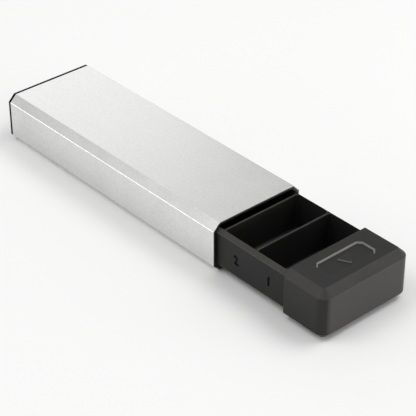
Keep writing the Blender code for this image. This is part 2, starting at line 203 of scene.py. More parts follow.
# Where a mesh counts as flat, flush or joined
FLAT_ANGLE = math.radians(0.5)
FLUSH_ANGLE = math.radians(0.05)
AT_RIM = 0.01 * MM
NEARLY_ZERO = 0.001 * MM
WELD_DISTANCE = 0.0001 * MM

# Values that follow from those above
BORE_INSET = LINER_INSET + LINER_WALL
PLUG_INSET = BORE_INSET + SEAT_GAP
COMPARTMENT_PITCH = COMPARTMENT_LENGTH + DIVIDER_THICKNESS
POCKET_FLOOR_RADIUS = POCKET_SIDE_RADIUS + POCKET_CORNER_RADIUS
MAGNET_RADIUS = (TRAY_MAGNET_HIGH.y - TRAY_MAGNET_LOW.y) / 2
MAGNET_OFFSET = (TRAY_MAGNET_HIGH.y + TRAY_MAGNET_LOW.y) / 2
MAGNET_POCKET_RADIUS = MAGNET_RADIUS + SEAT_GAP
SIDES = (-1, 1)

# Snap tabs of the cap and of the head: middle along X, offset to the side, length and width
CAP_TABS = (REAR_X + CAP_PLUG_DEPTH / 2, CAP_TAB_OFFSET, CAP_TAB_LENGTH, CAP_TAB_WIDTH)
HEAD_TAB_MIDDLE = HEAD_TAB_SETBACK + HEAD_TAB_LENGTH / 2
HEAD_TABS = (HEAD_TAB_MIDDLE, HEAD_TAB_OFFSET, HEAD_TAB_LENGTH, HEAD_TAB_WIDTH)


# Meshes


def arc(center, radius, start, turn, steps):
    """Points along an arc, ends included. A pair of radii gives an oval one."""
    across, along = radius if isinstance(radius, tuple) else (radius, radius)
    angles = [start + turn * index / steps for index in range(steps + 1)]
    return [(center[0] + across * math.cos(a), center[1] + along * math.sin(a)) for a in angles]


def quarter_round(radius, steps):
    """The two setbacks of a rounded edge, step by step through a quarter turn."""
    turns = [math.pi / 2 * index / steps for index in range(steps + 1)]
    return [(radius * (1 - math.cos(turn)), radius * (1 - math.sin(turn))) for turn in turns]


def section(inset):
    """Case outline moved inwards by inset, as (y, z) about its middle, anticlockwise."""
    radius = CASE_EDGE_RADIUS
    leg = max(CASE_CHAMFER - inset * (2 - math.sqrt(2)), radius)
    turn = math.pi / 4
    reach = radius * math.tan(turn / 2)
    side = (HALF_WIDTH - inset - radius, HALF_HEIGHT - inset - leg - reach)
    top = (HALF_WIDTH - inset - leg - reach, HALF_HEIGHT - inset - radius)
    quarter = arc(side, radius, 0, turn, EDGE_STEPS) + arc(top, radius, turn, turn, EDGE_STEPS)
    upper = quarter + [(-y, z) for y, z in reversed(quarter)]
    return upper + [(-y, -z) for y, z in upper]


def rounded_loop(corners, radius, spread):
    """Outline of a convex shape with round corners, anticlockwise, moved outwards by spread."""
    points = []
    for index, corner in enumerate(corners):
        before = Vector(corners[index - 1])
        here = Vector(corner)
        after = Vector(corners[(index + 1) % len(corners)])
        arriving = (here - before).normalized()
        leaving = (after - here).normalized()
        turn = math.atan2(arriving.cross(leaving), arriving.dot(leaving))
        inward = Vector((-arriving.y, arriving.x))
        center = here - arriving * radius * math.tan(turn / 2) + inward * radius
        start = math.atan2(-inward.y, -inward.x)
        points += arc(center, radius + spread, start, turn, EDGE_STEPS)
    return points


def add_ring(bm, points):
    """Add one loop of vertices."""
    return [bm.verts.new(point) for point in points]


def skin(bm, first, second):
    """Join two loops of equal length with a band of faces."""
    for index, vert in enumerate(first):
        after = (index + 1) % len(first)
        bm.faces.new((vert, first[after], second[after], second[index]))


def skin_rings(bm, rings):
    """Join a row of loops with bands of faces."""
    for first, second in zip(rings, rings[1:]):
        skin(bm, first, second)


def loft(bm, rings):
    """Skin a row of loops into one closed body."""
    skin_rings(bm, rings)
    bm.faces.new(rings[0])
    bm.faces.new(rings[-1])


def fill_between(bm, *loops):
    """Fill the flat area that lies between loops of vertices."""
    edges = []
    for ring in loops:
        for index, vert in enumerate(ring):
            pair = (vert, ring[(index + 1) % len(ring)])
            edges.append(bm.edges.get(pair) or bm.edges.new(pair))
    bmesh.ops.triangle_fill(bm, edges=edges, use_beauty=True)


def as_mesh(bm, name, material=None):
    """Turn a bmesh into a mesh whose faces point outwards."""
    bmesh.ops.recalc_face_normals(bm, faces=bm.faces)
    mesh = bpy.data.meshes.new(name)
    bm.to_mesh(mesh)
    bm.free()
    if material is not None:
        mesh.materials.append(material)
    return mesh


def extrude(outline, start, end, axis=0):
    """Extrude an outline along X, Y or Z. Its points hold the other two coordinates."""
    bm = bmesh.new()
    ends = [[(*pair[:axis], level, *pair[axis:]) for pair in outline] for level in (start, end)]
    loft(bm, [add_ring(bm, points) for points in ends])
    return bm


def block(span_x, span_y, span_z):
    """A box over three spans, each given by its two ends in any order."""
    (start, end), (low, high) = span_x, span_y
    return extrude([(start, low), (end, low), (end, high), (start, high)], *span_z, axis=2)


def around(middle, width):
    """The span of a width about its middle."""
    return (middle - width / 2, middle + width / 2)


def tab_blocks(tabs, gap, low, high):
    """Four blocks for snap tabs or their windows, at each side on the floor and under the top."""
    middle, offset, length, width = tabs
    span = around(middle, length + 2 * gap)
    blocks = []
    for side in SIDES:
        across = around(side * offset, width + 2 * gap)
        blocks += [block(span, across, (level * low, level * high)) for level in SIDES]
    return blocks


def disc(radius, start, end, across):
    """A round disc along X whose axis runs at y = across."""
    return extrude(arc((across, 0), radius, 0, 2 * math.pi, ROUND_STEPS)[:-1], start, end)


def ring_wall(outer_inset, inner_inset, start, end):
    """A plain wall between two insets of the case outline, along X."""
    bm = bmesh.new()
    corners = ((outer_inset, start), (outer_inset, end), (inner_inset, end), (inner_inset, start))
    rings = [add_ring(bm, [(x, y, z) for y, z in section(inset)]) for inset, x in corners]
    skin_rings(bm, rings + rings[:1])
    return bm


def add_object(name, mesh):
    """Show a mesh as an object of the scene."""
    item = bpy.data.objects.new(name, mesh)
    bpy.context.scene.collection.objects.link(item)
    return item


def bake(item):
    """The mesh that an object's modifiers make, with the object and its modifiers removed."""
    depsgraph = bpy.context.evaluated_depsgraph_get()
    mesh = bpy.data.meshes.new_from_object(item.evaluated_get(depsgraph), depsgraph=depsgraph)
    mesh.name = item.name
    item.modifiers.clear()
    bpy.data.objects.remove(item, do_unlink=True)
    return mesh


def cut(*forms):
    """Steps that cut forms out."""
    return [("DIFFERENCE", form) for form in forms]


def join(*forms):
    """Steps that join forms on."""
    return [("UNION", form) for form in forms]


def combine(mesh, steps):
    """Cut forms out of a mesh, or join them on, in the order given."""
    item = add_object(mesh.name, mesh)
    tools = []
    for operation, form in steps:
        tool = form if isinstance(form, bpy.types.Mesh) else as_mesh(form, "tool")
        tools.append(add_object("tool", tool))
        step = item.modifiers.new(operation, "BOOLEAN")
        step.operation = operation
        step.solver = "EXACT"
        step.material_mode = "TRANSFER"
        step.object = tools[-1]
    result = bake(item)
    for tool in tools:
        bpy.data.objects.remove(tool, do_unlink=True)
    return result


def round_edges(bm, edges, width):
    """Round a set of edges."""
    rounding = {"segments": RIM_STEPS, "profile": 0.5, "affect": "EDGES", "clamp_overlap": True}
    bmesh.ops.bevel(bm, geom=edges, offset=width, **rounding)


def convex_edges(bm, test):
    """Edges with a clear outward corner whose two ends both pass a test."""
    found = []
    for edge in bm.edges:
        if len(edge.link_faces) == 2 and edge.calc_face_angle_signed() > SHARP_ANGLE:
            if all(test(vert.co) for vert in edge.verts):
                found.append(edge)
    return found


def flat_region(seed):
    """The faces that lie in one plane with a face and hang together with it."""
    region = {seed}
    waiting = [seed]
    while waiting:
        for edge in waiting.pop().edges:
            if edge.calc_face_angle(math.pi) < FLAT_ANGLE:
                fresh = [face for face in edge.link_faces if face not in region]
                region.update(fresh)
                waiting += fresh
    return region


def bend_of(face):
    """How tightly the surface bends outwards at a face: one over its radius."""
    bends = [0.0]
    for edge in face.edges:
        if len(edge.link_faces) == 2:
            first, second = edge.link_faces
            reach = (first.calc_center_median() - second.calc_center_median()).length
            bends.append(edge.calc_face_angle_signed(0) / max(reach, NEARLY_ZERO))
    return max(bends)


def depth_inside(place):
    """How far a place lies inside the case's outline."""
    beside = HALF_WIDTH - abs(place.y)
    above = HALF_HEIGHT - abs(place.z - HALF_HEIGHT)
    return min(beside, above, (beside + above - CASE_CHAMFER) / math.sqrt(2))


def mark_rounded_edges(mesh):
    """Write a point attribute that is 1 on tightly rounded edges in a hand's reach, else 0."""
    bm = bmesh.new()
    bm.from_mesh(mesh)
    low, high = 1 / SOFTEST_EDGE_RADIUS, 1 / TIGHTEST_BODY_RADIUS
    marks = {}
    for seed in bm.faces:
        if seed in marks:
            continue
        region = flat_region(seed)
        places = [vert.co for face in region for vert in face.verts]
        spans = [max(along) - min(along) for along in zip(*places)]
        area = sum(face.calc_area() for face in region)
        narrow = area / max(Vector(spans).length, NEARLY_ZERO) < EDGE_FACE_WIDTH
        for face in region:
            share = (bend_of(face) - low) / (high - low) if narrow else 0.0
            marks[face] = min(max(share, 0.0), 1.0)
    values = []
    for vert in bm.verts:
        reached = depth_inside(vert.co) < HANDLED_DEPTH
        values.append(min(marks[face] for face in vert.link_faces) if reached else 0.0)
    bm.free()
    mesh.attributes.new("rounded_edge", "FLOAT", "POINT").data.foreach_set("value", values)


def mark_highlight_walls(mesh):
    """Write a face attribute that is 1 on the slanting walls of the thumb recess and arrow, which
    take a painted highlight.
    """
    middle = RECESS_SETBACK + RECESS_LENGTH / 2
    values = []
    for face in mesh.polygons:
        place = face.center
        inside = abs(place.x - middle) < RECESS_LENGTH / 2 and abs(place.y) < RECESS_WIDTH / 2
        shallow = HALF_HEIGHT - RECESS_DEPTH < place.z < HALF_HEIGHT
        slanting = WALL_RISE[0] < face.normal.z < WALL_RISE[1]
        values.append(1.0 if inside and shallow and slanting else 0.0)
    mesh.attributes.new("painted_highlight_wall", "FLOAT", "FACE").data.foreach_set("value", values)


def finish_piece(name, mesh, forward, body, node):
    """Put a mesh in its place, shade it, attach it to its body, and hide the node that it is built
    after.
    """
    mesh.transform(Matrix.Translation((forward, 0, HALF_HEIGHT)))
    mark_rounded_edges(mesh)
    mesh.shade_smooth()
    mesh.set_sharp_from_angle(angle=SHARP_ANGLE)
    item = add_object(name, mesh)
    weighting = item.modifiers.new("weighted_normals", "WEIGHTED_NORMAL")
    weighting.keep_sharp = True
    weighting.weight = LARGE_FACES_FIRST
    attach(item, body)
    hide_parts(node)


# Node trees

NODES_IN_ROW = 12
NODE_SPACING = (200, 260)
INPUT_SOCKETS = {
    float: "NodeSocketFloat",
    int: "NodeSocketInt",
    tuple: "NodeSocketVector",
    type(None): "NodeSocketMaterial",
}
OUTPUT_SOCKETS = {"GeometryNodeTree": "NodeSocketGeometry", "ShaderNodeTree": "NodeSocketFloat"}

# Sockets of a Mix node by what it mixes: first input, second input and output
MIX_SOCKETS = {"VECTOR": (4, 5, 1), "RGBA": (6, 7, 2)}


def feed(tree, item, inputs):
    """Link or set a node's inputs by name or number. The values of a list all go to one input."""
    for key, value in inputs.items():
        for part in value if isinstance(value, list) else [value]:
            if isinstance(part, bpy.types.NodeSocket):
                tree.links.new(part, item.inputs[key])
            else:
                item.inputs[key].default_value = part


def add_node(tree, kind, inputs=None, **settings):
    """Add a node, set its options, feed its inputs, and return its outputs."""
    item = tree.nodes.new(kind)
    row, column = divmod(len(tree.nodes), NODES_IN_ROW)
    item.location = (column * NODE_SPACING[0], -row * NODE_SPACING[1])
    for key, value in settings.items():
        setattr(item, key, value)
    feed(tree, item, inputs or {})
    return item.outputs


def calculate(tree, operation, first, second=0.0, third=0.0):
    """A Math node's result."""
    values = {0: first, 1: second, 2: third}
    return add_node(tree, "ShaderNodeMath", values, operation=operation)[0]


def calculate_whole(tree, operation, first, second):
    """An Integer Math node's result."""
    return add_node(tree, "FunctionNodeIntegerMath", {0: first, 1: second}, operation=operation)[0]


def vector_math(tree, operation, inputs, output="Vector"):
    """A Vector Math node's result."""
    return add_node(tree, "ShaderNodeVectorMath", inputs, operation=operation)[output]


def scale_between(tree, value, old, new=(0.0, 1.0), **settings):
    """A value mapped from one range to another, and kept inside it."""
    ends = {"From Min": old[0], "From Max": old[1], "To Min": new[0], "To Max": new[1]}
    return add_node(tree, "ShaderNodeMapRange", {"Value": value, **ends}, **settings)["Result"]


def mix(tree, kind, factor, first, second):
    """A Mix node's result."""
    low, high, result = MIX_SOCKETS[kind]
    inputs = {"Factor": factor, low: first, high: second}
    return add_node(tree, "ShaderNodeMix", inputs, data_type=kind)[result]


def start_tree(name, kind, inputs, outputs):
    """A node tree with named inputs, set to their defaults, and named outputs."""
    tree = bpy.data.node_groups.new(name, kind)
    for label, default in inputs.items():
        socket_type = INPUT_SOCKETS[type(default)]
        socket = tree.interface.new_socket(label, in_out="INPUT", socket_type=socket_type)
        if default is not None:
            socket.default_value = default
    for label in outputs:
        tree.interface.new_socket(label, in_out="OUTPUT", socket_type=OUTPUT_SOCKETS[kind])
    return tree, add_node(tree, "NodeGroupInput")


def run_tree(tree, name, values):
    """The plain mesh that a Geometry Nodes tree makes for these named inputs."""
    carrier = add_object(name, bpy.data.meshes.new(name))
    modifier = carrier.modifiers.new(tree.name, "NODES")
    modifier.node_group = tree
    for item in tree.interface.items_tree:
        if item.in_out == "INPUT" and item.name in values:
            modifier[item.identifier] = values[item.name]
    mesh = bake(carrier)
    mesh.materials.clear()
    mesh.materials.append(values["Material"])
    mesh.polygons.foreach_set("material_index", [0] * len(mesh.polygons))
    return mesh


# Geometry Nodes


def fillet(tree, curve, radius, count):
    """A curve of straight lines with its corners cut in so many steps."""
    inputs = {"Curve": curve, "Count": count, "Radius": radius}
    return add_node(tree, "GeometryNodeFilletCurve", inputs, mode="POLY")["Curve"]


def make_outline_tree():
    """The case's outline as a curve: a rectangle, chamfered and then rounded."""
    sizes = {
        "Width": 2 * HALF_WIDTH,
        "Height": 2 * HALF_HEIGHT,
        "Chamfer": CASE_CHAMFER,
        "Edge Radius": CASE_EDGE_RADIUS,
        "Edge Steps": EDGE_STEPS,
        "Inset": 0.0,
    }
    tree, given = start_tree("case_outline", "GeometryNodeTree", sizes, ["Curve"])
    both = calculate(tree, "MULTIPLY", given["Inset"], 2.0)
    size = {key: calculate(tree, "SUBTRACT", given[key], both) for key in ("Width", "Height")}
    rectangle = add_node(tree, "GeometryNodeCurvePrimitiveQuadrilateral", size)["Curve"]
    shorter = calculate(tree, "MULTIPLY", given["Inset"], 2 - math.sqrt(2))
    leg = calculate(tree, "SUBTRACT", given["Chamfer"], shorter)
    leg = calculate(tree, "MAXIMUM", leg, given["Edge Radius"])
    chamfered = fillet(tree, rectangle, leg, 1)
    rounded = fillet(tree, chamfered, given["Edge Radius"], given["Edge Steps"])
    add_node(tree, "NodeGroupOutput", {"Curve": rounded})
    return tree


def sample_position(tree, curve, index):
    """Where the point of that index lies on a curve."""
    position = add_node(tree, "GeometryNodeInputPosition")[0]
    inputs = {"Geometry": curve, "Value": position, "Index": index}
    return add_node(tree, "GeometryNodeSampleIndex", inputs, data_type="FLOAT_VECTOR")[0]


def point_count(tree, curve):
    """How many points a curve has."""
    whole = {"Geometry": curve}
    size = add_node(tree, "GeometryNodeAttributeDomainSize", whole, component="CURVE")
    return size["Point Count"]


def weld(tree, geometry):
    """Geometry whose meeting points are made one."""
    inputs = {"Geometry": geometry, "Distance": WELD_DISTANCE}
    return add_node(tree, "GeometryNodeMergeByDistance", inputs)[0]


def make_tube_tree(outline_tree):
    """A wall with rounded lips that follows the case's outline between two insets."""
    sizes = {
        "Outer Inset": 0.0,
        "Inner Inset": SLEEVE_WALL,
        "Start": REAR_X,
        "End": MOUTH_X,
        "Lip Radius": SLEEVE_LIP,
        "Lip Steps": LIP_STEPS,
        "Countersink": 0.0,
        "Material": None,
    }
    tree, given = start_tree("case_tube", "GeometryNodeTree", sizes, ["Geometry"])
    tree.is_modifier = True
    outlines = []
    for name in ("Outer Inset", "Inner Inset"):
        inset = {"Inset": given[name]}
        outline = add_node(tree, "GeometryNodeGroup", inset, node_tree=outline_tree)
        outlines.append(outline["Curve"])
    wall = calculate(tree, "SUBTRACT", given["Inner Inset"], given["Outer Inset"])
    length = calculate(tree, "SUBTRACT", given["End"], given["Start"])
    middle = calculate(tree, "MULTIPLY", calculate(tree, "ADD", given["End"], given["Start"]), 0.5)
    front, rear = [calculate(tree, "MULTIPLY", length, share) for share in (0.5, -0.5)]
    inner, outer = [calculate(tree, "MULTIPLY", wall, share) for share in (0.5, -0.5)]
    inner_front = calculate(tree, "SUBTRACT", front, given["Countersink"])
    places = ((inner_front, inner), (rear, inner), (rear, outer), (front, outer))
    corners = {}
    for number, (forward, level) in enumerate(places, 1):
        corner = {"X": forward, "Y": level}
        corners[f"Point {number}"] = add_node(tree, "ShaderNodeCombineXYZ", corner)[0]
    plain = add_node(tree, "GeometryNodeCurvePrimitiveQuadrilateral", corners, mode="POINTS")
    wall_section = fillet(tree, plain["Curve"], given["Lip Radius"], given["Lip Steps"])

    around_count = point_count(tree, outlines[0])
    through_count = point_count(tree, wall_section)
    rows = calculate_whole(tree, "ADD", through_count, 1)
    columns = calculate_whole(tree, "ADD", around_count, 1)
    counts = {"Vertices X": columns, "Vertices Y": rows}
    grid = add_node(tree, "GeometryNodeMeshGrid", counts)["Mesh"]
    index = add_node(tree, "GeometryNodeInputIndex")[0]
    column = calculate_whole(tree, "DIVIDE_FLOOR", index, rows)
    column = calculate_whole(tree, "MODULO", column, around_count)
    row = calculate_whole(tree, "MODULO", index, rows)
    row = calculate_whole(tree, "MODULO", row, through_count)

    place = add_node(tree, "ShaderNodeSeparateXYZ", {0: sample_position(tree, wall_section, row)})
    share = calculate(tree, "ADD", calculate(tree, "DIVIDE", place["Y"], wall), 0.5)
    outer, inner = [sample_position(tree, curve, column) for curve in outlines]
    blend = mix(tree, "VECTOR", share, outer, inner)
    across = add_node(tree, "ShaderNodeSeparateXYZ", {0: blend})
    forward = calculate(tree, "ADD", place["X"], middle)
    target = {"X": forward, "Y": across["X"], "Z": across["Y"]}
    target = add_node(tree, "ShaderNodeCombineXYZ", target)[0]
    moved = add_node(tree, "GeometryNodeSetPosition", {"Geometry": grid, "Position": target})[0]
    close_tree(tree, weld(tree, moved), given["Material"])
    return tree


def close_tree(tree, geometry, material):
    """End a tree in real geometry with its material."""
    real = add_node(tree, "GeometryNodeRealizeInstances", {"Geometry": geometry})[0]
    inputs = {"Geometry": real, "Material": material}
    dressed = add_node(tree, "GeometryNodeSetMaterial", inputs)[0]
    add_node(tree, "NodeGroupOutput", {"Geometry": dressed})


def without_near_points(tree, curve):
    """A curve without the points that nearly meet the next one, whose corner cannot be rounded."""
    place = add_node(tree, "GeometryNodeInputPosition")[0]
    following = add_node(tree, "GeometryNodeOffsetPointInCurve", {"Offset": 1})
    inputs = {"Index": following["Point Index"], "Value": place}
    next_place = add_node(tree, "GeometryNodeFieldAtIndex", inputs, data_type="FLOAT_VECTOR")[0]
    gap = vector_math(tree, "DISTANCE", {0: place, 1: next_place}, "Value")
    near = calculate(tree, "LESS_THAN", gap, NUMBER_NEAR_POINTS)
    doomed = calculate(tree, "MULTIPLY", near, following["Is Valid Offset"])
    inputs = {"Geometry": curve, "Selection": doomed}
    return add_node(tree, "GeometryNodeDeleteGeometry", inputs, domain="POINT")[0]


def make_number_tree():
    """A row of numbers as closed blocks, one for each compartment, the first at the front."""
    sizes = {
        "Count": COMPARTMENT_COUNT,
        "First": (0.0, 0.0, 0.0),
        "Pitch": COMPARTMENT_PITCH,
        "Font Size": NUMBER_HEIGHT / DIGIT_SHARE,
        "Boldness": NUMBER_BOLDNESS,
        "Corner Radius": NUMBER_CORNER,
        "Point Gap": NUMBER_POINT_GAP,
        "Thickness": NUMBER_DEPTH + CUT_OVERRUN,
        "Material": None,
    }
    tree, given = start_tree("compartment_numbers", "GeometryNodeTree", sizes, ["Geometry"])
    tree.is_modifier = True
    opening = tree.nodes.new("GeometryNodeRepeatInput")
    closing = tree.nodes.new("GeometryNodeRepeatOutput")
    opening.pair_with_output(closing)
    feed(tree, opening, {"Iterations": given["Count"]})
    turn = opening.outputs["Iteration"]

    digit = calculate(tree, "ADD", turn, 1.0)
    label = add_node(tree, "FunctionNodeValueToString", {"Value": digit, "Decimals": 0})[0]
    writing = {"String": label, "Size": given["Font Size"]}
    centred = {"align_x": "CENTER", "align_y": "MIDDLE"}
    letters = add_node(tree, "GeometryNodeStringToCurves", writing, **centred)["Curve Instances"]
    real = add_node(tree, "GeometryNodeRealizeInstances", {"Geometry": letters})[0]
    corners = {"Curve": without_near_points(tree, real), "Radius": given["Corner Radius"]}
    corners["Limit Radius"] = True
    soft = add_node(tree, "GeometryNodeFilletCurve", corners, mode="BEZIER")["Curve"]
    points = {"Curve": soft, "Length": given["Point Gap"]}
    even = add_node(tree, "GeometryNodeResampleCurve", points, mode="LENGTH")[0]
    tangent = add_node(tree, "GeometryNodeInputTangent")[0]
    normal = vector_math(tree, "CROSS_PRODUCT", {0: tangent, 1: (0.0, 0.0, 1.0)})
    push = vector_math(tree, "SCALE", {0: normal, "Scale": given["Boldness"]})
    bold = add_node(tree, "GeometryNodeSetPosition", {"Geometry": even, "Offset": push})[0]
    face = add_node(tree, "GeometryNodeFillCurve", {"Curve": bold}, mode="NGONS")[0]
    rise = {"Mesh": face, "Offset Scale": given["Thickness"], "Individual": False}
    raised = add_node(tree, "GeometryNodeExtrudeMesh", rise)["Mesh"]
    back = add_node(tree, "GeometryNodeFlipFaces", {"Mesh": face})[0]
    solid = weld(tree, add_node(tree, "GeometryNodeJoinGeometry", {0: [raised, back]})[0])

    travel = calculate(tree, "MULTIPLY", calculate(tree, "MULTIPLY", turn, given["Pitch"]), -1.0)
    shift = add_node(tree, "ShaderNodeCombineXYZ", {"X": travel})[0]
    place = vector_math(tree, "ADD", {0: given["First"], 1: shift})
    upright = {"Geometry": solid, "Translation": place, "Rotation": (math.pi / 2, 0.0, 0.0)}
    standing = add_node(tree, "GeometryNodeTransform", upright)[0]
    row = {0: [opening.outputs["Geometry"], standing]}
    feed(tree, closing, {"Geometry": add_node(tree, "GeometryNodeJoinGeometry", row)[0]})
    close_tree(tree, closing.outputs["Geometry"], given["Material"])
    return tree


# Effects that the materials share

NOISE_MEAN = 0.5
COARSE_SCALE = 0.31
COARSE_SHARE = 0.5
CLOUD_RANGE = (0.3, 0.7)
PATCH_RANGE = (0.35, 0.6)
PATCH_SIZE = 3 * MM
LINE_STRETCH = 0.012

# Upright share of the normal where slanting faces begin and end, and its share ahead on the front,
# for the painted facing light
SLANT_BEGINS = (0.3, 0.42)
SLANT_ENDS = (0.82, 0.92)
FRONT_BEGINS = (0.86, 0.98)


def object_place(tree, stretch=(1.0, 1.0, 1.0)):
    """Object coordinates, stretched or squeezed along each axis."""
    place = add_node(tree, "ShaderNodeTexCoord")["Object"]
    return add_node(tree, "ShaderNodeMapping", {"Vector": place, "Scale": stretch})[0]


def noise(tree, place, scale, detail=2.0, roughness=0.5):
    """A Noise Texture's value."""
    inputs = {"Vector": place, "Scale": scale, "Detail": detail, "Roughness": roughness}
    return add_node(tree, "ShaderNodeTexNoise", inputs)[0]


def close_texture(tree, value, mean, contrast):
    """End an effect in a height and a tone. The tone swings about 1 as the value about its mean."""
    height = calculate(tree, "MULTIPLY", value, contrast)
    swing = calculate(tree, "SUBTRACT", value, mean)
    tone = calculate(tree, "MULTIPLY_ADD", swing, contrast, 1.0)
    add_node(tree, "NodeGroupOutput", {"Height": height, "Tone": tone})
    return tree


def make_grain_effect():
    """Fine even grain, as of a spark-textured mould or blasted metal."""
    sizes = {"Grain Size": 0.2 * MM, "Contrast": 1.0}
    tree, given = start_tree("fine_grain", "ShaderNodeTree", sizes, ["Height", "Tone"])
    place = object_place(tree)
    scale = calculate(tree, "DIVIDE", 1.0, given["Grain Size"])
    fine = noise(tree, place, scale, detail=3.0, roughness=0.6)
    coarse = noise(tree, place, calculate(tree, "MULTIPLY", scale, COARSE_SCALE), detail=1.0)
    mixed = calculate(tree, "MULTIPLY_ADD", coarse, COARSE_SHARE, fine)
    return close_texture(tree, mixed, NOISE_MEAN * (1 + COARSE_SHARE), given["Contrast"])


def make_haze_effect():
    """Broad soft clouds, as handling and moulding leave on a surface."""
    sizes = {"Cloud Size": 12 * MM, "Amount": 0.1}
    tree, given = start_tree("soft_haze", "ShaderNodeTree", sizes, ["Factor", "Offset"])
    scale = calculate(tree, "DIVIDE", 1.0, given["Cloud Size"])
    clouds = noise(tree, object_place(tree), scale, detail=3.0)
    clouds = scale_between(tree, clouds, CLOUD_RANGE, (-1.0, 1.0))
    offset = calculate(tree, "MULTIPLY", clouds, given["Amount"])
    factor = calculate(tree, "ADD", offset, 1.0)
    add_node(tree, "NodeGroupOutput", {"Factor": factor, "Offset": offset})
    return tree


def make_edge_effect():
    """Mask of the rounded edges, broken up a little: edges that hands polish, lightened further as
    a painted highlight.
    """
    sizes = {"Amount": 1.0, "Breakup": 0.3}
    tree, given = start_tree("edge_wear_and_highlight", "ShaderNodeTree", sizes, ["Mask"])
    edges = add_node(tree, "ShaderNodeAttribute", attribute_name="rounded_edge")["Fac"]
    patches = noise(tree, object_place(tree), 1 / PATCH_SIZE, detail=4.0)
    patches = scale_between(tree, patches, PATCH_RANGE)
    plain = calculate(tree, "SUBTRACT", 1.0, given["Breakup"])
    kept = calculate(tree, "MULTIPLY_ADD", patches, given["Breakup"], plain)
    mask = calculate(tree, "MULTIPLY", calculate(tree, "MULTIPLY", edges, kept), given["Amount"])
    add_node(tree, "NodeGroupOutput", {"Mask": mask})
    return tree


def make_facing_light_effect():
    """Mask of the slanting faces and the front face, where painted light makes the plastic lighter
    by the way it faces.
    """
    sizes = {"Chamfers": 1.0, "Front": 0.0}
    tree, given = start_tree("painted_facing_light", "ShaderNodeTree", sizes, ["Mask"])
    normal = add_node(tree, "ShaderNodeTexCoord")["Normal"]
    parts = add_node(tree, "ShaderNodeSeparateXYZ", {0: normal})
    steepness = calculate(tree, "ABSOLUTE", parts["Z"])
    low = scale_between(tree, steepness, SLANT_BEGINS)
    high = scale_between(tree, steepness, SLANT_ENDS, (1.0, 0.0))
    slanting = calculate(tree, "MULTIPLY", low, high)
    chamfers = calculate(tree, "MULTIPLY", slanting, given["Chamfers"])
    ahead = scale_between(tree, parts["X"], FRONT_BEGINS)
    mask = calculate(tree, "MULTIPLY_ADD", ahead, given["Front"], chamfers)
    add_node(tree, "NodeGroupOutput", {"Mask": mask})
    return tree


def make_line_effect():
    """Faint lines along X, as drawing through a die leaves them."""
    sizes = {"Line Width": 0.25 * MM, "Contrast": 1.0}
    tree, given = start_tree("drawn_lines", "ShaderNodeTree", sizes, ["Height", "Tone"])
    scale = calculate(tree, "DIVIDE", 1.0, given["Line Width"])
    lines = noise(tree, object_place(tree, (LINE_STRETCH, 1.0, 1.0)), scale)
    return close_texture(tree, lines, NOISE_MEAN, given["Contrast"])


# Materials

WHITE = (1.0, 1.0, 1.0, 1.0)
# Lighter colour painted on the recess and arrow walls as a highlight
WALL_HIGHLIGHT_COLOR = (0.18, 0.175, 0.17, 1.0)
# Colour of the cut edges: bare cut metal, brightened further as a painted highlight line
CUT_EDGE_AND_HIGHLIGHT_COLOR = (0.97, 0.97, 0.96, 1.0)
METAL_TINT = (0.3, 0.3, 0.3, 1.0)
SATIN_ROUGHNESS = 0.32
PLATED_ROUGHNESS = 0.22
POLISH = 0.1
LINE_RELIEF = 0.4

# Black plastics of the four moulded pieces, and the paint of the numbers
PLASTICS = {
    "liner": dict(
        name="liner_plastic", color=(0.008, 0.008, 0.008), edge_wear_and_highlight_color=(0.03, 0.03, 0.03),
        roughness=0.42, grain=0.25 * MM, relief=0.012 * MM,
    ),
    "cap": dict(
        name="cap_plastic", color=(0.003, 0.003, 0.003), edge_wear_and_highlight_color=(0.004, 0.004, 0.004),
        roughness=0.4, grain=0.25 * MM, relief=0.015 * MM, specular=0.04,
    ),
    "tray": dict(
        name="tray_plastic", color=(0.0140, 0.0134, 0.0128), edge_wear_and_highlight_color=(0.07, 0.07, 0.068),
        roughness=0.42, grain=0.28 * MM, relief=0.018 * MM, specular=0.16, facing_light_gain=(2.2, 0.0),
    ),
    "head": dict(
        name="head_plastic", color=(0.0125, 0.0115, 0.0107), edge_wear_and_highlight_color=(0.024, 0.023, 0.022),
        roughness=0.42, grain=0.28 * MM, relief=0.018 * MM, specular=0.28, facing_light_gain=(1.8, 2.3),
    ),
    "ink": dict(
        name="number_paint", color=(0.002, 0.002, 0.002), edge_wear_and_highlight_color=(0.003, 0.003, 0.003),
        roughness=0.45, grain=0.2 * MM, relief=0.006 * MM, specular=0.1,
    ),
}


def place_effect(tree, effect, inputs):
    """Place a shared effect with its own values."""
    return add_node(tree, "ShaderNodeGroup", inputs, node_tree=effect)


def scale_color(tree, color, factor):
    """A fixed colour made lighter or darker by a factor."""
    tint = add_node(tree, "ShaderNodeRGB")[0]
    tint.default_value = (*color, 1.0)
    return vector_math(tree, "SCALE", {0: tint, "Scale": factor})


def start_material(effects, name, color, metal, specular, grain, haze):
    """A Principled material, its tree and shader, and its grain and haze.

    Grain is given as size and contrast, haze as cloud size and amount.
    """
    material = bpy.data.materials.new(name)
    material.use_nodes = True
    material.diffuse_color = (*color, 1.0)
    tree = material.node_tree
    shader = tree.nodes["Principled BSDF"]
    feed(tree, shader, {"Metallic": metal, "Specular IOR Level": specular})
    grain = place_effect(tree, effects["grain"], {"Grain Size": grain[0], "Contrast": grain[1]})
    haze = place_effect(tree, effects["haze"], {"Cloud Size": haze[0], "Amount": haze[1]})
    return material, tree, shader, grain, haze


def finish_material(tree, shader, shade, gloss, height, relief):
    """Feed the shader its colour, its roughness and a relief of that depth."""
    normal = {"Height": height, "Distance": relief, "Strength": 1.0}
    normal = add_node(tree, "ShaderNodeBump", normal)["Normal"]
    feed(tree, shader, {"Base Color": shade, "Roughness": gloss, "Normal": normal})


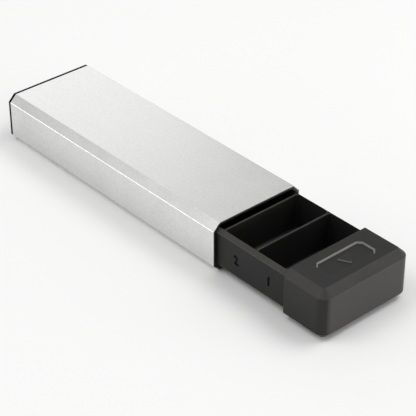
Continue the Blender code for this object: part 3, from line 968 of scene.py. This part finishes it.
def make_plastic(
    effects, name, color, edge_wear_and_highlight_color, roughness, grain, relief, specular=0.3, facing_light_gain=(0.0, 0.0)
):
    """Moulded black plastic with a fine spark-textured surface. Its edges are lighter partly as
    wear and partly as a painted highlight, and painted light lightens its slanting faces, its front
    face and its recess walls.
    """
    material, tree, shader, texture, haze = start_material(
        effects, name, color, 0.0, specular, grain=(grain, 0.5), haze=(9 * MM, 0.06)
    )
    # Edges take a lighter colour, partly as wear and partly as a painted highlight.
    edges = place_effect(tree, effects["edges"], {"Amount": 0.7, "Breakup": 0.35})
    # Painted light: the slanting faces and the front face are made lighter by the way they face.
    facing_light = place_effect(tree, effects["facing_light"], {"Chamfers": facing_light_gain[0], "Front": facing_light_gain[1]})
    tone = calculate(tree, "MULTIPLY", texture["Tone"], haze["Factor"])
    tone = calculate(tree, "MULTIPLY", tone, calculate(tree, "ADD", facing_light["Mask"], 1.0))
    shade = scale_color(tree, color, tone)
    shade = mix(tree, "RGBA", edges["Mask"], shade, (*edge_wear_and_highlight_color, 1.0))
    # Painted highlight: the slanting walls of the thumb recess and arrow take a lighter colour.
    lit_walls = add_node(tree, "ShaderNodeAttribute", attribute_name="painted_highlight_wall")["Fac"]
    shade = mix(tree, "RGBA", lit_walls, shade, WALL_HIGHLIGHT_COLOR)
    gloss = calculate(tree, "ADD", haze["Offset"], roughness)
    finish_material(tree, shader, shade, gloss, texture["Height"], relief)
    return material


def make_aluminium(effects):
    """Extruded aluminium, blasted and anodised in clear satin, with bright cut edges that are
    partly bare cut metal and partly a painted highlight line.
    """
    color = (0.80, 0.80, 0.79)
    name = "anodised_aluminium"
    material, tree, shader, blasted, haze = start_material(
        effects, name, color, 1.0, 0.5, grain=(0.4 * MM, 0.3), haze=(18 * MM, 0.02)
    )
    feed(tree, shader, {"Specular Tint": METAL_TINT})
    lines = place_effect(tree, effects["lines"], {"Line Width": 0.3 * MM, "Contrast": 0.1})
    edges = place_effect(tree, effects["edges"], {"Amount": 0.8, "Breakup": 0.12})
    tone = calculate(tree, "MULTIPLY", blasted["Tone"], lines["Tone"])
    tone = calculate(tree, "MULTIPLY", tone, haze["Factor"])
    # Cut edges are brighter, partly as bare cut metal and partly as a painted highlight line.
    shade = mix(tree, "RGBA", edges["Mask"], scale_color(tree, color, tone), CUT_EDGE_AND_HIGHLIGHT_COLOR)
    gloss = calculate(tree, "ADD", haze["Offset"], SATIN_ROUGHNESS)
    gloss = calculate(tree, "MULTIPLY_ADD", edges["Mask"], -POLISH, gloss)
    height = calculate(tree, "MULTIPLY_ADD", lines["Height"], LINE_RELIEF, blasted["Height"])
    finish_material(tree, shader, shade, gloss, height, relief=0.02 * MM)
    return material


def make_nickel(effects):
    """Plated disc magnets, smooth with faint handling marks."""
    color = (0.62, 0.60, 0.57)
    material, tree, shader, texture, haze = start_material(
        effects, "plated_nickel", color, 1.0, 0.5, grain=(0.4 * MM, 0.1), haze=(2 * MM, 0.06)
    )
    tone = calculate(tree, "MULTIPLY", texture["Tone"], haze["Factor"])
    gloss = calculate(tree, "ADD", haze["Offset"], PLATED_ROUGHNESS)
    shade = scale_color(tree, color, tone)
    finish_material(tree, shader, shade, gloss, texture["Height"], relief=0.004 * MM)
    return material


def make_materials():
    """Every material of the organizer, by name."""
    effects = {
        "grain": make_grain_effect(),
        "haze": make_haze_effect(),
        "edges": make_edge_effect(),
        "facing_light": make_facing_light_effect(),
        "lines": make_line_effect(),
    }
    materials = {"aluminium": make_aluminium(effects), "nickel": make_nickel(effects)}
    for name, look in PLASTICS.items():
        materials[name] = make_plastic(effects, **look)
    return materials


# Pieces of the case


def make_sleeve(tube_tree, materials):
    """Extruded aluminium tube."""
    sizes = {"Countersink": SLEEVE_COUNTERSINK, "Material": materials["aluminium"]}
    mesh = run_tree(tube_tree, "sleeve_shell", sizes)
    finish_piece("sleeve_shell", mesh, 0, "case", "outer_sleeve")


def finger_cuts(side):
    """The slits that free a spring finger in the liner's floor, and its drag pad."""
    middle = side * FINGER_OFFSET
    wall = (-HALF_HEIGHT + BORE_INSET + CUT_OVERRUN, -HALF_HEIGHT + LINER_INSET - CUT_OVERRUN)
    tip = MOUTH_X - FINGER_SETBACK
    long_slit = (tip - FINGER_LENGTH, tip)
    half = (FINGER_WIDTH + FINGER_SLIT) / 2
    spans = [
        (long_slit, around(middle - half, FINGER_SLIT)),
        (long_slit, around(middle + half, FINGER_SLIT)),
        ((tip, tip + FINGER_SLIT), around(middle, FINGER_WIDTH + 2 * FINGER_SLIT)),
    ]
    slits = [block(span_x, span_y, wall) for span_x, span_y in spans]
    front = tip - FINGER_SLIT
    root = -HALF_HEIGHT + LINER_INSET + LINER_WALL / 2
    crest = -HALF_HEIGHT + TRAY_INSET - FINGER_PAD_GAP
    length = (front - FINGER_PAD_LENGTH, front)
    pad = block(length, around(middle, FINGER_WIDTH / 2), (root, crest))
    return cut(*slits) + join(pad)


def make_liner(tube_tree, materials):
    """Thin moulded liner with slots for the lugs, spring fingers and cap windows."""
    sizes = {
        "Outer Inset": LINER_INSET,
        "Inner Inset": BORE_INSET,
        "Start": LINER_LOW.x,
        "End": LINER_HIGH.x,
        "Lip Radius": LINER_LIP,
        "Material": materials["liner"],
    }
    mesh = run_tree(tube_tree, "liner_shell", sizes)
    inner, outer = BORE_INSET + CUT_OVERRUN, LINER_INSET - CUT_OVERRUN
    steps = cut(*tab_blocks(CAP_TABS, SEAT_GAP, HALF_HEIGHT - inner, HALF_HEIGHT - outer))
    for side in SIDES:
        wall = (side * (HALF_WIDTH - inner), side * (HALF_WIDTH - outer))
        slot = block((LUG_SLOT_TAIL_X, MOUTH_X - STOP_RING), wall, around(0, LUG_SLOT_HEIGHT))
        steps += cut(slot) + finger_cuts(side)
    mesh = combine(mesh, steps)
    finish_piece("liner_shell", mesh, 0, "case", "sleeve_liner")


def rounded_bar(start, end, edge, inset=0.0):
    """A solid bar along X that follows the case's outline, with rounded ends."""
    bm = bmesh.new()
    stations = [(shrink, start + along) for along, shrink in quarter_round(edge, LIP_STEPS)]
    stations += [(shrink, start + end - x) for shrink, x in reversed(stations)]
    loops = [[(x, y, z) for y, z in section(inset + shrink)] for shrink, x in stations]
    loft(bm, [add_ring(bm, points) for points in loops])
    return bm


def make_cap(materials):
    """End cap: a flange, a hollow plug with snap tabs and two magnet bosses."""
    flange_front = REAR_X - SEAT_GAP
    mesh = as_mesh(rounded_bar(CAP_LOW.x, flange_front, CAP_EDGE), "cap_shell", materials["cap"])
    root = (CAP_LOW.x + flange_front) / 2
    plug = ring_wall(PLUG_INSET, PLUG_INSET + CAP_PLUG_WALL, root, REAR_X + CAP_PLUG_DEPTH)
    steps = join(plug)
    boss_front = CAP_MAGNET_HIGH.x
    pocket_floor = CAP_MAGNET_LOW.x - SEAT_GAP
    tab_root = HALF_HEIGHT - PLUG_INSET - CAP_PLUG_WALL / 2
    tab_crest = HALF_HEIGHT - BORE_INSET + CAP_TAB_BITE
    for side in SIDES:
        across = side * MAGNET_OFFSET
        boss = disc(MAGNET_POCKET_RADIUS + MAGNET_BOSS_WALL, root, boss_front, across)
        pocket = disc(MAGNET_POCKET_RADIUS, pocket_floor, boss_front + CUT_OVERRUN, across)
        steps += join(boss) + cut(pocket)
    mesh = combine(mesh, steps + join(*tab_blocks(CAP_TABS, 0, tab_root, tab_crest)))
    finish_piece("cap_shell", mesh, 0, "case", "rear_cap")


# Pieces of the drawer


def cavity_profile(shrink):
    """Long section of the tray's hollow as (x, z), with every pocket shrunk alike."""
    above = HALF_HEIGHT - TRAY_INSET + CUT_OVERRUN
    crest = HALF_HEIGHT - TRAY_INSET - DIVIDER_DROP
    floor = -HALF_HEIGHT + TRAY_INSET + TRAY_FLOOR + shrink
    radius = POCKET_FLOOR_RADIUS - shrink
    rounding = DIVIDER_THICKNESS / 2
    half_divider = DIVIDER_THICKNESS / 2 + shrink
    quarter = math.pi / 2
    points = []
    for index in range(COMPARTMENT_COUNT):
        near = -TRAY_FRONT_WALL - index * COMPARTMENT_PITCH - shrink
        far = near - COMPARTMENT_LENGTH + 2 * shrink
        if index == 0:
            points.append((near, above))
        points += arc((near - radius, floor + radius), radius, 0, -quarter, FILLET_STEPS)
        points += arc((far + radius, floor + radius), radius, -quarter, -quarter, FILLET_STEPS)
        if index < COMPARTMENT_COUNT - 1:
            center = (far - half_divider, crest - rounding)
            points += arc(center, (half_divider, rounding), 0, math.pi, 2 * EDGE_STEPS)
        else:
            points.append((far, above))
    return points


def cavity_form():
    """The tray's hollow: a row of pockets with rounded floors and corners."""
    bm = bmesh.new()
    wall = HALF_WIDTH - TRAY_INSET - TRAY_SIDE_WALL
    rounding = quarter_round(POCKET_SIDE_RADIUS, FILLET_STEPS)
    stations = [(wall - aside, shrink) for aside, shrink in rounding]
    stations += [(-y, shrink) for y, shrink in reversed(stations)]
    loops = [[(x, y, z) for x, z in cavity_profile(shrink)] for y, shrink in stations]
    loft(bm, [add_ring(bm, points) for points in loops])
    return bm


def lug_form(side):
    """A stop lug: square to the front, ramped to the rear."""
    wall = HALF_WIDTH - TRAY_INSET
    root = wall - TRAY_SIDE_WALL / 2
    rear = -TRAY_LENGTH + LUG_TAIL_OFFSET
    front = rear + LUG_LENGTH
    outline = [
        (rear, root),
        (front, root),
        (front, wall + LUG_RISE),
        (front - LUG_LENGTH / 2, wall + LUG_RISE),
        (rear, wall + LUG_RAMP_RISE),
    ]
    return extrude([(x, side * y) for x, y in outline], *around(0, LUG_HEIGHT), axis=2)


def soften_tray_rims(mesh):
    """Round the upper rims of the pockets and the tray's two ends."""
    top = HALF_HEIGHT - TRAY_INSET
    inner_wall = HALF_WIDTH - TRAY_INSET - TRAY_SIDE_WALL

    def is_rim(place):
        return abs(place.z - top) < AT_RIM and abs(place.y) < inner_wall + AT_RIM

    bm = bmesh.new()
    bm.from_mesh(mesh)
    bmesh.ops.dissolve_limit(bm, angle_limit=FLUSH_ANGLE, verts=bm.verts, edges=bm.edges)
    round_edges(bm, convex_edges(bm, is_rim), TRAY_RIM_EDGE)
    bm.to_mesh(mesh)
    bm.free()


def number_blocks(number_tree, materials):
    """The numbers as blocks that cut their shape into the tray's left side."""
    first = -TRAY_FRONT_WALL - COMPARTMENT_LENGTH / 2
    depth = -HALF_WIDTH + TRAY_INSET + NUMBER_DEPTH
    values = {"First": (first, depth, NUMBER_LEVEL), "Material": materials["ink"]}
    return run_tree(number_tree, "number_blocks", values)


def tongue_steps():
    """The tongue's hollow, its middle rib and the windows for the head's snap tabs."""
    hollow = extrude(section(TRAY_INSET + TONGUE_WALL), TONGUE_FLOOR, TONGUE_LENGTH + CUT_OVERRUN)
    face = HALF_HEIGHT - TRAY_INSET
    length = (TONGUE_FLOOR / 2, TONGUE_LENGTH - TRAY_END_EDGE)
    rib = block(length, around(0, TONGUE_RIB), around(0, 2 * face - TONGUE_WALL))
    low, high = face - TONGUE_WALL - CUT_OVERRUN, face + CUT_OVERRUN
    return cut(hollow) + join(rib) + cut(*tab_blocks(HEAD_TABS, SEAT_GAP, low, high))


def make_tray(number_tree, materials):
    """Moulded tray: pockets in a row, stop lugs, magnet pockets and a hollow tongue."""
    bar = rounded_bar(-TRAY_LENGTH, TONGUE_LENGTH, TRAY_END_EDGE, TRAY_INSET)
    mesh = as_mesh(bar, "tray_shell", materials["tray"])
    lugs = [lug_form(side) for side in SIDES]
    pocket = (-TRAY_LENGTH - CUT_OVERRUN, TRAY_MAGNET_HIGH.x - SHOULDER_X + SEAT_GAP)
    pockets = [disc(MAGNET_POCKET_RADIUS, *pocket, side * MAGNET_OFFSET) for side in SIDES]
    mesh = combine(mesh, join(*lugs) + cut(cavity_form()) + tongue_steps() + cut(*pockets))
    soften_tray_rims(mesh)
    mesh = combine(mesh, cut(number_blocks(number_tree, materials)))
    finish_piece("tray_shell", mesh, SHOULDER_X, "drawer", "drawer_tray")


def head_rings(bm, inset, front_wall, back):
    """Loops of the head's plan, from its underside up to its top."""
    outline = section(inset)
    quarter = len(outline) // 4
    rings = []
    for y, z in outline[-quarter:] + outline[:quarter]:
        offset = HALF_WIDTH - y
        radius = max(HEAD_CORNER_RADIUS - offset, CASE_EDGE_RADIUS)
        nose = HEAD_LENGTH - front_wall - (offset - inset) - radius
        near = arc((nose, -y + radius), radius, -math.pi / 2, math.pi / 2, CORNER_STEPS)
        far = arc((nose, y - radius), radius, 0, math.pi / 2, CORNER_STEPS)
        plan = [(back, -y)] + near + far + [(back, y)]
        rings.append(add_ring(bm, [(x, side, z) for x, side in plan]))
    return rings


def clear_shoulder(bm, rings):
    """Make the flat shoulder one face."""
    ends = {vert for ring in rings for vert in (ring[0], ring[-1])}
    shoulder = [face for face in bm.faces if ends.issuperset(face.verts)]
    bmesh.ops.dissolve_faces(bm, faces=shoulder)


def plan_rings(bm, corners, radius, profile):
    """Loops of a plan with round corners, moved outwards and down from the head's top."""
    rings = []
    for spread, depth in profile:
        loop = rounded_loop(corners, radius, spread)
        rings.append(add_ring(bm, [(x, y, HALF_HEIGHT - depth) for x, y in loop]))
    return rings


def recess_rings(bm):
    """Loops of the thumb recess, from its rounded rim down to the edge of its floor."""
    middle = RECESS_SETBACK + RECESS_LENGTH / 2
    short_half, long_half = RECESS_LENGTH / 2, RECESS_WIDTH / 2
    short_side, long_side = short_half - RECESS_CORNER_CUT, long_half - RECESS_CORNER_CUT
    half = [
        (short_half, -long_side),
        (short_half, long_side),
        (short_side, long_half),
        (-short_side, long_half),
    ]
    corners = [(middle + x, y) for x, y in half] + [(middle - x, -y) for x, y in half]
    rim = [(spread, drop) for drop, spread in quarter_round(RECESS_RIM, LIP_STEPS)]
    foot = quarter_round(RECESS_FILLET, LIP_STEPS)
    foot = [(-RECESS_DRAFT - aside, RECESS_DEPTH - rise) for aside, rise in foot]
    return plan_rings(bm, corners, RECESS_CORNER_RADIUS, rim + foot)


def arrow_rings(bm):
    """Loops of the raised arrow, from its foot on the recess floor up to its flat top."""
    corners = [(ARROW_BASE, ARROW_HALF_WIDTH), (ARROW_BASE, -ARROW_HALF_WIDTH), (ARROW_TIP, 0.0)]
    crest = RECESS_DEPTH - ARROW_RISE
    foot = ARROW_SLOPE / 2
    rim = quarter_round(ARROW_RIM, LIP_STEPS)
    profile = [(foot, RECESS_DEPTH)]
    profile += [(ARROW_RIM - foot - aside, crest + drop) for aside, drop in rim]
    return plan_rings(bm, corners, ARROW_CORNER_RADIUS, profile)


def head_rib_form(side):
    """A rib that fills the head's height ahead of the tongue and stops the tongue."""
    back = TONGUE_LENGTH + SEAT_GAP
    front = HEAD_LENGTH - HEAD_FRONT_WALL / 2
    low = -HALF_HEIGHT + HEAD_WALL / 2
    high = HALF_HEIGHT - (HEAD_WALL + RECESS_DEPTH) / 2
    outline = [
        (back, low),
        (front - CASE_CHAMFER, low),
        (front, low + CASE_CHAMFER),
        (front, high - CASE_CHAMFER),
        (front - CASE_CHAMFER, high),
        (back, high),
    ]
    return extrude(outline, *around(side * HEAD_RIB_OFFSET, HEAD_RIB), axis=1)


def make_head(materials):
    """Drawer head with conical chamfer corners, a thumb recess and a pull arrow."""
    bm = bmesh.new()
    rings = head_rings(bm, 0, 0, 0)
    skin_rings(bm, rings)
    bm.faces.new(rings[0])
    recess = recess_rings(bm)
    skin_rings(bm, recess)
    fill_between(bm, rings[-1], recess[0])
    arrow = arrow_rings(bm)
    skin_rings(bm, arrow)
    fill_between(bm, recess[-1], arrow[0])
    fill_between(bm, arrow[-1])
    bmesh.ops.recalc_face_normals(bm, faces=bm.faces)
    clear_shoulder(bm, rings)
    back = convex_edges(bm, lambda place: abs(place.x) < NEARLY_ZERO)
    round_edges(bm, back, HEAD_BACK_EDGE)
    mesh = as_mesh(bm, "head_shell", materials["head"])

    hollow = bmesh.new()
    loft(hollow, head_rings(hollow, HEAD_WALL, HEAD_FRONT_WALL, -CUT_OVERRUN))
    ribs = [head_rib_form(side) for side in SIDES]
    root = HALF_HEIGHT - (HEAD_WALL + RECESS_DEPTH) / 2
    tabs = tab_blocks(HEAD_TABS, 0, root, HALF_HEIGHT - TRAY_INSET - HEAD_TAB_BITE)
    mesh = combine(mesh, cut(hollow) + join(*ribs, *tabs))
    mark_highlight_walls(mesh)
    finish_piece("head_shell", mesh, SHOULDER_X, "drawer", "drawer_head")


def dress_magnets(materials):
    """Give the four disc magnets their plating."""
    for place in ("cap", "tray"):
        for side in ("left", "right"):
            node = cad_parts[f"{place}_magnet_{side}"]
            node.data.materials.clear()
            node.data.materials.append(materials["nickel"])


# Stage, light and camera

FLOOR_RADIUS = 6.0
FLOOR_STEPS = 96
FLOOR_COLOR = (0.86, 0.86, 0.855)
FADE_START = 0.3
FADE_END = 0.85
BACKDROP_LEVEL = 0.85

WORLD_LEVEL = 0.6

SOFTBOX_DISTANCE = 1.0
SOFTBOXES = {
    "front_softbox": dict(azimuth=27, elevation=5.5, width=1.4, height=0.17, power=4.5),
    "right_softbox": dict(azimuth=60, elevation=58, width=0.5, height=0.5, power=3.2),
    "rear_softbox": dict(azimuth=154, elevation=15, width=0.6, height=0.7, power=1.25),
    "left_low_softbox": dict(azimuth=238, elevation=9, width=1.6, height=0.18, power=2.4),
    "left_softbox": dict(azimuth=245, elevation=58, width=0.5, height=0.5, power=2.3),
}

CAMERA_PLACE = (0.48979, -0.39346, 0.40244)
CAMERA_HEADING = math.radians(138.756)
CAMERA_TILT = math.radians(-33.553)
CAMERA_ROLL = math.radians(-0.17)
CAMERA_LENS = 139.03
CAMERA_SENSOR = 36.0


def make_floor():
    """Pale floor whose far part shows as a backdrop that fades into the surround at its rim.

    The floor is clear when it is seen from below.
    """
    material = bpy.data.materials.new("pale_floor")
    material.use_nodes = True
    tree = material.node_tree
    tree.nodes.clear()
    matte = add_node(tree, "ShaderNodeBsdfDiffuse", {"Color": (*FLOOR_COLOR, 1.0)})[0]
    clear = add_node(tree, "ShaderNodeBsdfTransparent")[0]
    rays = add_node(tree, "ShaderNodeLightPath")
    viewing = calculate(tree, "MAXIMUM", rays["Is Camera Ray"], rays["Is Glossy Ray"])
    viewing = calculate(tree, "MAXIMUM", viewing, rays["Is Transmission Ray"])
    place = add_node(tree, "ShaderNodeTexCoord")["Object"]
    reach = vector_math(tree, "LENGTH", {0: place}, "Value")
    fade = scale_between(tree, reach, (FADE_START, FADE_END), interpolation_type="SMOOTHSTEP")
    fade = calculate(tree, "MULTIPLY", fade, viewing)
    level = scale_between(tree, reach, (FADE_END, FLOOR_RADIUS), (BACKDROP_LEVEL, WORLD_LEVEL))
    pale = add_node(tree, "ShaderNodeEmission", {"Color": WHITE, "Strength": level})[0]
    seen = add_node(tree, "ShaderNodeMixShader", {0: fade, 1: matte, 2: pale})[0]
    facing = add_node(tree, "ShaderNodeNewGeometry")["Backfacing"]
    from_below = calculate(tree, "MULTIPLY", facing, rays["Is Camera Ray"])
    mixed = add_node(tree, "ShaderNodeMixShader", {0: from_below, 1: seen, 2: clear})[0]
    add_node(tree, "ShaderNodeOutputMaterial", {"Surface": mixed})

    bm = bmesh.new()
    loop = arc((0.0, 0.0), FLOOR_RADIUS, 0, 2 * math.pi, FLOOR_STEPS)[:-1]
    bm.faces.new(add_ring(bm, [(x, y, 0.0) for x, y in loop]))
    mesh = bpy.data.meshes.new("floor")
    bm.to_mesh(mesh)
    bm.free()
    mesh.materials.append(material)
    add_object("floor", mesh)


def direction(azimuth, elevation):
    """A unit vector by its compass angle from +X towards +Y, and its height angle."""
    turn, rise = math.radians(azimuth), math.radians(elevation)
    level = math.cos(rise)
    return Vector((math.cos(turn) * level, math.sin(turn) * level, math.sin(rise)))


def make_world():
    """Plain pale studio surround, alike from every side."""
    world = bpy.data.worlds.new("studio")
    bpy.context.scene.world = world
    world.use_nodes = True
    tree = world.node_tree
    tree.nodes.clear()
    surround = add_node(tree, "ShaderNodeBackground", {"Color": WHITE, "Strength": WORLD_LEVEL})[0]
    add_node(tree, "ShaderNodeOutputWorld", {"Surface": surround})


def add_softbox(name, azimuth, elevation, width, height, power):
    """An upright soft lamp that faces the middle of the object."""
    lamp = bpy.data.lights.new(name, "AREA")
    lamp.shape = "RECTANGLE"
    lamp.size = width
    lamp.size_y = height
    lamp.energy = power
    item = add_object(name, lamp)
    middle = (Vector(CAD_BOX[0]) + Vector(CAD_BOX[1])) / 2
    line = direction(azimuth, elevation)
    item.location = middle + line * SOFTBOX_DISTANCE
    item.rotation_mode = "QUATERNION"
    item.rotation_quaternion = line.to_track_quat("Z", "Y")


def make_camera():
    """Camera at the photograph's place, with its long lens."""
    data = bpy.data.cameras.new("camera")
    data.lens = CAMERA_LENS
    data.sensor_width = CAMERA_SENSOR
    item = add_object("camera", data)
    heading = Matrix.Rotation(CAMERA_HEADING - math.pi / 2, 4, "Z")
    tilt = Matrix.Rotation(CAMERA_TILT + math.pi / 2, 4, "X")
    roll = Matrix.Rotation(CAMERA_ROLL, 4, "Z")
    item.matrix_world = Matrix.Translation(CAMERA_PLACE) @ heading @ tilt @ roll
    bpy.context.scene.camera = item


def build():
    """Build every piece, then the stage."""
    materials = make_materials()
    tube_tree = make_tube_tree(make_outline_tree())
    number_tree = make_number_tree()
    make_sleeve(tube_tree, materials)
    make_liner(tube_tree, materials)
    make_cap(materials)
    make_tray(number_tree, materials)
    make_head(materials)
    dress_magnets(materials)

    make_floor()
    make_world()
    for name, values in SOFTBOXES.items():
        add_softbox(name, **values)
    make_camera()
    bpy.context.scene.view_settings.view_transform = "Standard"


build()
